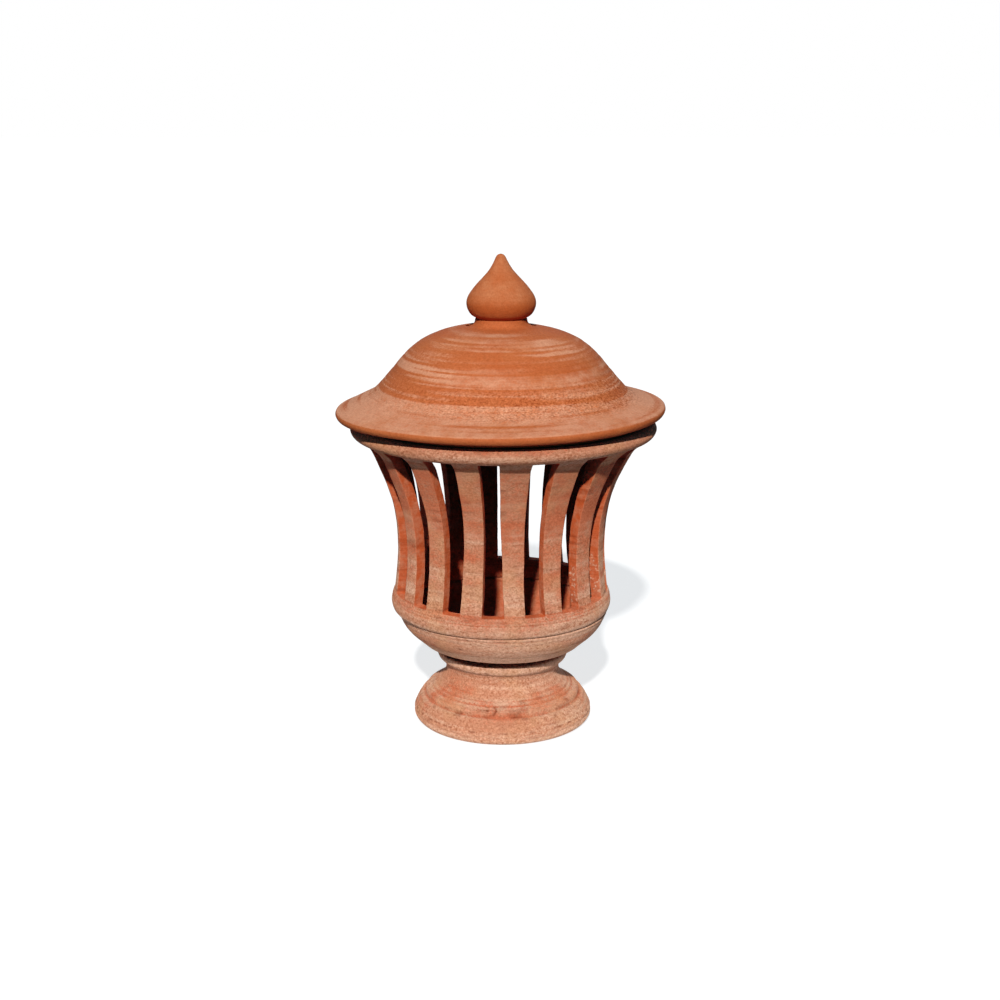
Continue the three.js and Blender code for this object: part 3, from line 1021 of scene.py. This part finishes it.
def clay_tone(g, grain, rough, covered):
    """A light and dark grain to multiply a clay's colour by, strongest in blue and where it is rough."""
    tone = g.plus(g.centred(grain.drags, 1.6), g.centred(grain.grit, 0.9), g.centred(grain.fine, 1.6))
    tone = g.times(tone, g.ramp(0.2, rough, 0.8), g.ramp(0.45, covered, 0.55))
    shade = g.node("ShaderNodeCombineColor")
    for channel, share in enumerate((0.8, 1.1, 1.3)):
        g.put(shade.inputs[channel], g.ramp(1.0, tone, share))
    return shade.outputs[0]


def clay(name, plain, warm, pale, raw, tan, tan_share, speckle, softness):
    """Low-fired clay: painted blushes, and lime bloom that also carries painted light and highlights,
    broken up by grit, dark specks, and bare cut faces, then darkened by grime and painted shade.
    """
    g = Graph(bpy.data.materials.new(name))
    grain = clay_grain(g)
    rough = g.attribute("rough")
    bare = g.math("MAXIMUM", g.attribute("cut"), g.times(g.attribute("inside"), 0.9))
    covered = g.math("SUBTRACT", 1.0, bare, clamp=True)

    breakup = g.plus(g.centred(grain.grit, 1.5), g.centred(grain.drags, 1.6))
    breakup = g.plus(g.times(breakup, g.ramp(0.3, rough, 0.7)), g.centred(grain.streaks, 0.8))
    pale_mask = g.steps(g.plus(breakup, g.attribute("pale")), 0.05, 0.95)
    warm_mask = g.steps(g.plus(breakup, g.centred(grain.lumps, 0.9), g.attribute("warm")), 0.15, 0.9)

    surface = g.mix(pale_mask, plain, pale)
    surface = g.mix(g.times(warm_mask, 0.85), surface, warm)
    surface = g.mix(g.times(g.steps(grain.patches, 0.5, 0.68), tan_share), surface, tan)
    raw_mask = g.steps(g.plus(grain.lumps, g.centred(grain.grit, 0.6)), 0.35, 0.7)
    raw_tone = g.mix(0.45, raw, g.mix(raw_mask, raw, plain))
    surface = g.mix(g.times(bare, 0.92), surface, raw_tone)
    crumb_mask = g.times(g.steps(grain.crumbs, 0.56, 0.63), g.steps(grain.lumps, 0.42, 0.56))
    surface = g.mix(g.times(crumb_mask, g.attribute("crumbs")), surface, pale)
    surface = g.mix(1.0, surface, clay_tone(g, grain, rough, covered), "MULTIPLY")
    speck_mask = g.times(g.steps(grain.drags, 0.56, 0.66), rough, speckle, covered)
    surface = g.mix(speck_mask, surface, g.mix(1.0, surface, SPECK_TINT, "MULTIPLY"))
    # Darkens where the body has grime, and where shade is painted into the recess under the bowl.
    surface = g.mix(g.attribute("grime_and_shade"), surface, g.mix(1.0, surface, GRIME_AND_SHADE_TINT, "MULTIPLY"))
    g.fill(g.shader, Base_Color=surface, Roughness=g.ramp(0.82, pale_mask, 0.14), Specular_IOR_Level=0.22,
           Diffuse_Roughness=softness)

    relief = g.plus(g.centred(grain.grit, 1.0), g.centred(grain.drags, 0.8))
    relief = g.times(relief, g.ramp(0.3, rough, 0.9))
    relief = g.plus(relief, g.times(g.centred(grain.streaks, 0.6), covered))
    g.bump(relief, strength=0.6, distance=0.0007)
    return g.owner


def mottled(name, scale, detail, tones, roughness, bump, **others):
    """A material that one noise varies: from tone to tone, from smooth to rough, and in relief."""
    g = Graph(bpy.data.materials.new(name))
    mottle = g.noise(g.position(), scale, detail)
    smooth, rough = roughness
    g.fill(g.shader, Base_Color=g.mix(mottle, *tones), Roughness=g.ramp(smooth, mottle, rough - smooth),
           **others)
    g.bump(mottle, **bump)
    return g.owner


def tealight_metal():
    tones = colour(208, 190, 174), colour(234, 216, 200)
    bump = dict(strength=0.2, distance=0.0002)
    return mottled("tealight_metal", 900.0, 2.0, tones, (0.26, 0.46), bump, Metallic=0.7)


def wax_material():
    tones = colour(238, 230, 212), colour(250, 246, 236)
    bump = dict(strength=0.15, distance=0.0004)
    return mottled("wax", 140.0, 4.0, tones, (0.38, 0.58), bump, Subsurface_Weight=0.35,
                   Subsurface_Radius=(0.004, 0.003, 0.002))


def wick_cotton():
    tones = colour(205, 196, 174), colour(240, 235, 222)
    return mottled("wick_cotton", 2600.0, 3.0, tones, (0.92, 0.92), dict(strength=0.4, distance=0.0002))


# ---- stage

FLOOR_SIZE = 60.0
SUN_STRENGTH = 3.7
SUN_AZIMUTH, SUN_ELEVATION = math.radians(-4), math.radians(36)
BACK_STRENGTH = 0.6
BACK_AZIMUTH, BACK_ELEVATION = math.radians(176), math.radians(30)
FILL_COLOUR, FILL_STRENGTH = (0.52, 0.79, 1.0, 1), 0.2

# The floor throws much light back up within NEAR_FLOOR metres of the axis, and little past FAR_FLOOR.
NEAR_FLOOR, FAR_FLOOR = 0.19, 0.44
NEAR_BOUNCE, FAR_BOUNCE = (0.85, 0.83, 0.82, 1), (0.14, 0.14, 0.15, 1)
SEEN_FLOOR, FLOOR_GLOW = (0.4, 0.4, 0.4, 1), 0.7


def add_floor():
    """A white studio floor. The camera sees it lightened by a glow, so that the shadow stays pale."""
    bpy.ops.mesh.primitive_plane_add(size=FLOOR_SIZE)
    floor = bpy.context.object
    floor.name = "floor"
    g = Graph(bpy.data.materials.new("floor"))
    g.tree.nodes.remove(g.shader)
    distance = g.vector_math("LENGTH", g.position())["Value"]
    bounce_tone = g.mix(g.steps(distance, NEAR_FLOOR, FAR_FLOOR), NEAR_BOUNCE, FAR_BOUNCE)
    bounce = g.node("ShaderNodeBsdfDiffuse", Color=bounce_tone)
    seen = g.node("ShaderNodeBsdfDiffuse", Color=SEEN_FLOOR)
    beyond_foot = g.steps(distance, 0.8 * FOOT_RADIUS * MM, 0.85 * FOOT_RADIUS * MM)
    glow = g.node("ShaderNodeEmission", Strength=g.times(beyond_foot, FLOOR_GLOW))
    lit = g.node("ShaderNodeAddShader")
    g.put(lit.inputs[0], seen.outputs[0])
    g.put(lit.inputs[1], glow.outputs[0])
    g.by_camera(lit.outputs[0], bounce.outputs[0])
    floor.data.materials.append(g.owner)


def add_sun(name, azimuth, elevation, strength, spread_angle, tint):
    """A distant light. Its azimuth is measured to the right of the front."""
    data = bpy.data.lights.new(name, "SUN")
    data.energy = strength
    data.angle = spread_angle
    data.color = tint
    sun = bpy.data.objects.new(name, data)
    sun.rotation_euler = (math.pi / 2 - elevation, 0, azimuth)
    bpy.context.scene.collection.objects.link(sun)


def add_light():
    """A key light a little left of the camera, and a soft weak one behind."""
    add_sun("key", SUN_AZIMUTH, SUN_ELEVATION, SUN_STRENGTH, math.radians(2.0), (1.0, 0.98, 0.95))
    add_sun("back", BACK_AZIMUTH, BACK_ELEVATION, BACK_STRENGTH, math.radians(50.0), (0.9, 0.95, 1.0))


def add_backdrop():
    """The camera sees white behind everything, while all else is lit by an even bluish fill."""
    g = Graph(bpy.data.worlds.new("studio"))
    g.fill(g.shader, Color=FILL_COLOUR, Strength=FILL_STRENGTH)
    backdrop = g.node("ShaderNodeBackground", Color=(1, 1, 1, 1))
    g.by_camera(backdrop.outputs[0], g.shader.outputs[0])
    bpy.context.scene.world = g.owner


# For red, green and blue: how dark a tone shows on the film, as pairs of the dark tone and what is shown.
FILM_RESPONSE = [
    ((0.03, 0.007), (0.08, 0.062), (0.16, 0.15)),
    ((0.018, 0.009), (0.06, 0.051), (0.16, 0.156)),
    ((0.018, 0.012), (0.06, 0.055), (0.16, 0.158)),
]


def set_film_response():
    """Deepens the darkest tones, red the most, as a camera does with its contrast curves."""
    view = bpy.context.scene.view_settings
    view.view_transform = "Standard"
    view.use_curve_mapping = True
    for curve, response in zip(view.curve_mapping.curves, FILM_RESPONSE):
        for dark, shown in response:
            curve.points.new(dark, shown)
    view.curve_mapping.update()


def add_camera():
    """The eye is 1.54 m in front and 0.62 m up, looking 14 degrees down past the lantern's waist."""
    data = bpy.data.cameras.new("camera")
    data.lens = 56.0
    data.sensor_width = 36.0
    camera = bpy.data.objects.new("camera", data)
    camera.location = (-0.0012, -1.5436, 0.6231)
    camera.rotation_euler = (math.radians(90 - 14.227), 0, 0)
    bpy.context.scene.collection.objects.link(camera)
    bpy.context.scene.camera = camera


# ---- assembly

def dress(piece, node, body, material):
    """Gives a piece its material and puts it on its body, in place of the CAD node."""
    piece.data.materials.clear()
    piece.data.materials.append(material)
    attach(piece, body)
    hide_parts(node)


BODY_CLAY = dict(
    plain=colour(191, 131, 100), warm=colour(188, 102, 68), pale=colour(206, 162, 135),
    raw=colour(184, 84, 44), tan=colour(196, 146, 106), tan_share=0.38, speckle=0.9, softness=0.35,
)
LID_CLAY = dict(
    plain=colour(182, 98, 55), warm=colour(178, 89, 46), pale=colour(206, 143, 110),
    raw=colour(160, 84, 52), tan=colour(186, 108, 62), tan_share=0.3, speckle=0.35, softness=0.0,
)
FINIAL_CLAY = dict(
    plain=colour(181, 98, 55), warm=colour(175, 88, 45), pale=colour(191, 120, 80),
    raw=colour(160, 84, 52), tan=colour(184, 106, 62), tan_share=0.2, speckle=0.1, softness=0.1,
)

body_clay = clay("body_clay", **BODY_CLAY)
dress(make_foot(), "foot", "lantern_body", body_clay)
dress(make_bowl(), "bowl", "lantern_body", body_clay)
dress(make_slotted_wall(), "slotted_wall", "lantern_body", body_clay)
dress(make_lid(), "lid", "lid_assembly", clay("lid_clay", **LID_CLAY))
dress(make_finial(), "finial", "lid_assembly", clay("finial_clay", **FINIAL_CLAY))
tin = tealight_metal()
dress(make_cup(), "tealight_cup", "tealight", tin)
dress(make_wax(), "candle_wax", "tealight", wax_material())
dress(make_wick_holder(), "wick_holder", "tealight", tin)
dress(make_wick(), "wick", "tealight", wick_cotton())

add_floor()
add_light()
add_backdrop()
add_camera()
set_film_response()
